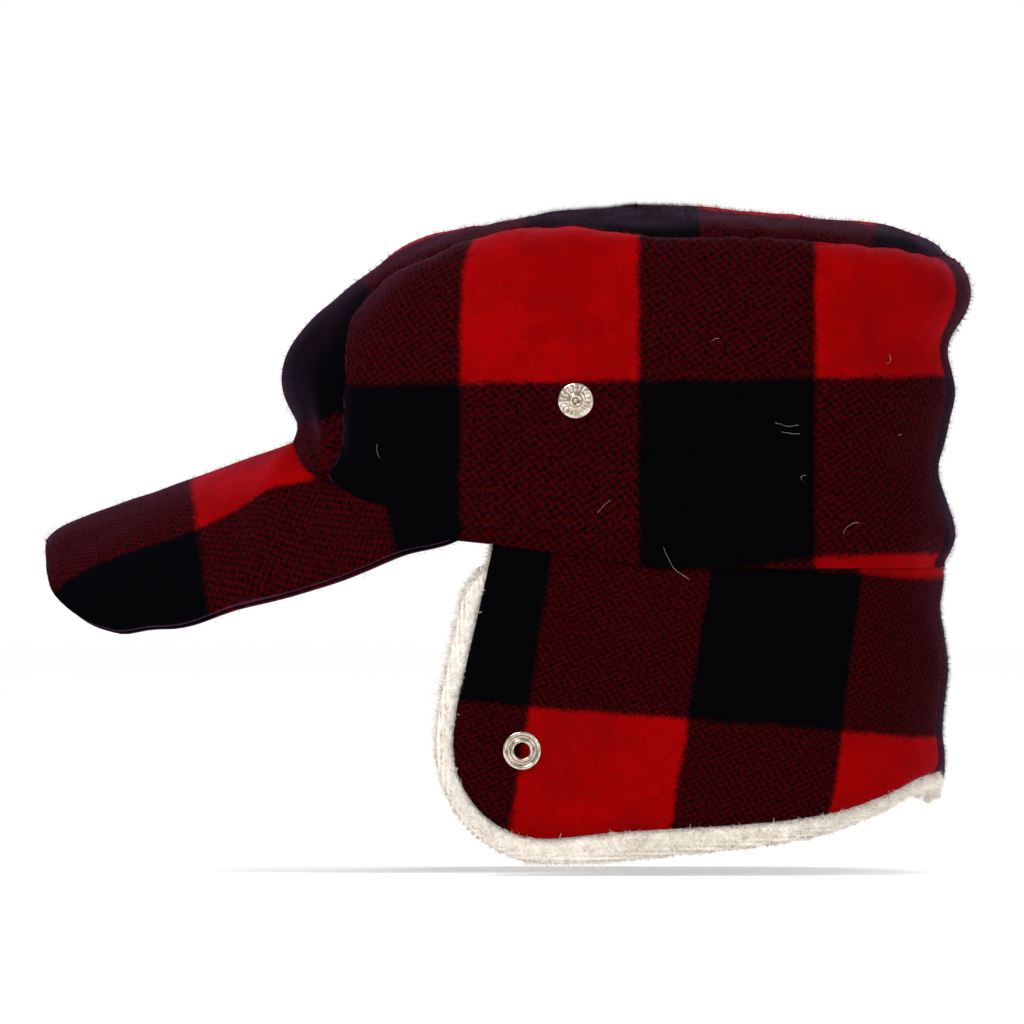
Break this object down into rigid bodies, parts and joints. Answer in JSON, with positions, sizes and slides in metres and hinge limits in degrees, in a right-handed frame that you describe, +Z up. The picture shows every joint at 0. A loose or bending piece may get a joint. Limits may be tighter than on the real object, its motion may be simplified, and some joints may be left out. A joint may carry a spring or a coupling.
{
  "type": "trapper hat",
  "caption": "Plaid wool hunting cap with a soft arched bill and one sherpa-lined ear and neck flap that folds up and snaps to the crown.",
  "frame": {"origin": "centre of the head opening, level with the lower edge of the crown's sides", "axes": "-X towards the bill, -Y towards the wearer's left, +Z up towards the top of the crown"},
  "size_m": [0.2972, 0.1774, 0.2121],
  "materials": {
    "plaid_wool": "brushed buffalo-plaid wool twill with a soft nap, red and black",
    "bill_wool": "brushed buffalo-plaid wool twill stretched over the bill",
    "bill_board": "flexible moulded board",
    "quilted_lining": "diamond-quilted satin, black",
    "sweatband": "woven cotton tape, black",
    "label_tape": "plain woven tape, blank",
    "flap_wool": "brushed buffalo-plaid wool twill with a soft nap",
    "sherpa": "cream sherpa pile, curled and soft",
    "snap_metal": "polished nickel plate, lightly worn",
    "snap_back": "nickel plate, satin",
    "spring_wire": "bright spring wire"
  },
  "bodies": {
    "crown": {"crown_top_front": "plaid_wool", "crown_side_left": "plaid_wool", "crown_side_right": "plaid_wool", "lining_top_front": "quilted_lining", "lining_side_left": "quilted_lining", "lining_side_right": "quilted_lining", "sweatband": "sweatband", "care_label": "label_tape", "bill_cover_top": "bill_wool", "bill_board": "bill_board", "bill_cover_under": "bill_wool", "snap_stud_left": "snap_metal", "snap_stud_right": "snap_metal", "snap_stud_post_left": "snap_back", "snap_stud_post_right": "snap_back"},
    "neck_flap": {"neck_flap_wool": "flap_wool", "neck_flap_pile": "sherpa"},
    "ear_flap_left": {"ear_flap_wool_left": "flap_wool", "ear_flap_pile_left": "sherpa", "snap_socket_left": "snap_metal", "snap_socket_cap_left": "snap_back", "snap_ring_left": "spring_wire"},
    "side_flap_left": {"side_flap_wool_left": "flap_wool", "side_flap_pile_left": "sherpa"},
    "corner_flap_left": {"corner_flap_wool_left": "flap_wool", "corner_flap_pile_left": "sherpa"},
    "quarter_flap_left": {"quarter_flap_wool_left": "flap_wool", "quarter_flap_pile_left": "sherpa"},
    "ear_flap_right": {"ear_flap_wool_right": "flap_wool", "ear_flap_pile_right": "sherpa", "snap_socket_right": "snap_metal", "snap_socket_cap_right": "snap_back", "snap_ring_right": "spring_wire"},
    "side_flap_right": {"side_flap_wool_right": "flap_wool", "side_flap_pile_right": "sherpa"},
    "corner_flap_right": {"corner_flap_wool_right": "flap_wool", "corner_flap_pile_right": "sherpa"},
    "quarter_flap_right": {"quarter_flap_wool_right": "flap_wool", "quarter_flap_pile_right": "sherpa"}
  },
  "joints": [
    {"name": "neck_fold", "type": "hinge", "parent": "crown", "child": "neck_flap", "pos_m": [0.1055, 0, -0.01518], "axis": [0, -1, 0], "range_deg": [0, 179.5]},
    {"name": "ear_flap_left_fold", "type": "hinge", "parent": "crown", "child": "ear_flap_left", "pos_m": [-0.02485, -0.0865, -0.0023], "axis": [-0.9884, 0, 0.1519], "range_deg": [0, 179.5]},
    {"name": "side_flap_left_fold", "type": "hinge", "parent": "crown", "child": "side_flap_left", "pos_m": [0.0274, -0.0865, -0.00865], "axis": [-0.9948, 0, 0.1015], "range_deg": [0, 179.5]},
    {"name": "corner_flap_left_fold", "type": "hinge", "parent": "crown", "child": "corner_flap_left", "pos_m": [0.07475, -0.07826, -0.01303], "axis": [-0.864, -0.4989, 0.0677], "range_deg": [0, 179.5]},
    {"name": "quarter_flap_left_fold", "type": "hinge", "parent": "crown", "child": "quarter_flap_left", "pos_m": [0.09726, -0.05575, -0.01464], "axis": [-0.4997, -0.8655, 0.0339], "range_deg": [0, 179.5]},
    {"name": "ear_flap_right_fold", "type": "hinge", "parent": "crown", "child": "ear_flap_right", "pos_m": [-0.02485, 0.0865, -0.0023], "axis": [0.9884, 0, -0.1519], "range_deg": [0, 179.5]},
    {"name": "side_flap_right_fold", "type": "hinge", "parent": "crown", "child": "side_flap_right", "pos_m": [0.0274, 0.0865, -0.00865], "axis": [0.9948, 0, -0.1015], "range_deg": [0, 179.5]},
    {"name": "corner_flap_right_fold", "type": "hinge", "parent": "crown", "child": "corner_flap_right", "pos_m": [0.07475, 0.07826, -0.01303], "axis": [0.864, -0.4989, -0.0677], "range_deg": [0, 179.5]},
    {"name": "quarter_flap_right_fold", "type": "hinge", "parent": "crown", "child": "quarter_flap_right", "pos_m": [0.09726, 0.05575, -0.01464], "axis": [0.4997, -0.8655, -0.0339], "range_deg": [0, 179.5]}
  ],
  "couplings": [
    {"joint": "ear_flap_left_fold", "follows": "neck_fold", "ratio": 1},
    {"joint": "side_flap_left_fold", "follows": "neck_fold", "ratio": 1},
    {"joint": "corner_flap_left_fold", "follows": "neck_fold", "ratio": 1},
    {"joint": "quarter_flap_left_fold", "follows": "neck_fold", "ratio": 1},
    {"joint": "ear_flap_right_fold", "follows": "neck_fold", "ratio": 1},
    {"joint": "side_flap_right_fold", "follows": "neck_fold", "ratio": 1},
    {"joint": "corner_flap_right_fold", "follows": "neck_fold", "ratio": 1},
    {"joint": "quarter_flap_right_fold", "follows": "neck_fold", "ratio": 1}
  ]
}
